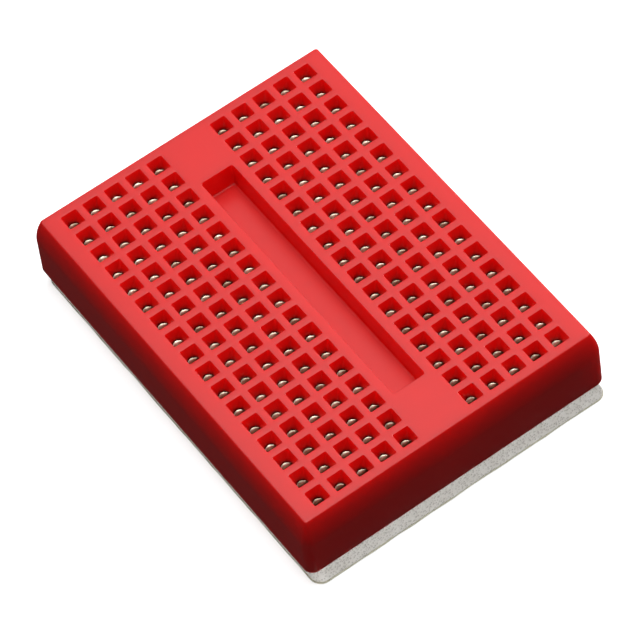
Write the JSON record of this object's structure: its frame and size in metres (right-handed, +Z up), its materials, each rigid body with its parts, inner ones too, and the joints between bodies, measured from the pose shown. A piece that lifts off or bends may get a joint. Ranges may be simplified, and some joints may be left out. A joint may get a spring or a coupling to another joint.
{
  "type": "solderless breadboard",
  "caption": "Small red solderless breadboard: grid of square wire holes either side of a centre trough, sprung contact clips inside, foam mounting pad with release liner underneath.",
  "frame": {"origin": "centre of the bounding box at the underside of the release liner, which the board lies on", "axes": "+X along the trough, +Y across it, +Z up out of the hole face"},
  "size_m": [0.0466, 0.035, 0.0095],
  "materials": {
    "housing": "satin",
    "contact": "satin",
    "foam": "matte",
    "liner": "satin"
  },
  "bodies": {
    "board": {"housing": "housing", "foam_pad": "foam", "front_clip_01": "contact", "front_clip_02": "contact", "front_clip_03": "contact", "front_clip_04": "contact", "front_clip_05": "contact", "front_clip_06": "contact", "front_clip_07": "contact", "front_clip_08": "contact", "front_clip_09": "contact", "front_clip_10": "contact", "front_clip_11": "contact", "front_clip_12": "contact", "front_clip_13": "contact", "front_clip_14": "contact", "front_clip_15": "contact", "front_clip_16": "contact", "front_clip_17": "contact", "rear_clip_01": "contact", "rear_clip_02": "contact", "rear_clip_03": "contact", "rear_clip_04": "contact", "rear_clip_05": "contact", "rear_clip_06": "contact", "rear_clip_07": "contact", "rear_clip_08": "contact", "rear_clip_09": "contact", "rear_clip_10": "contact", "rear_clip_11": "contact", "rear_clip_12": "contact", "rear_clip_13": "contact", "rear_clip_14": "contact", "rear_clip_15": "contact", "rear_clip_16": "contact", "rear_clip_17": "contact"},
    "liner": {"release_liner": "liner"}
  },
  "joints": [
    {"name": "liner_pull", "type": "slide", "parent": "board", "child": "liner", "axis": [1, 0, 0], "range_m": [0, 0.048]}
  ]
}
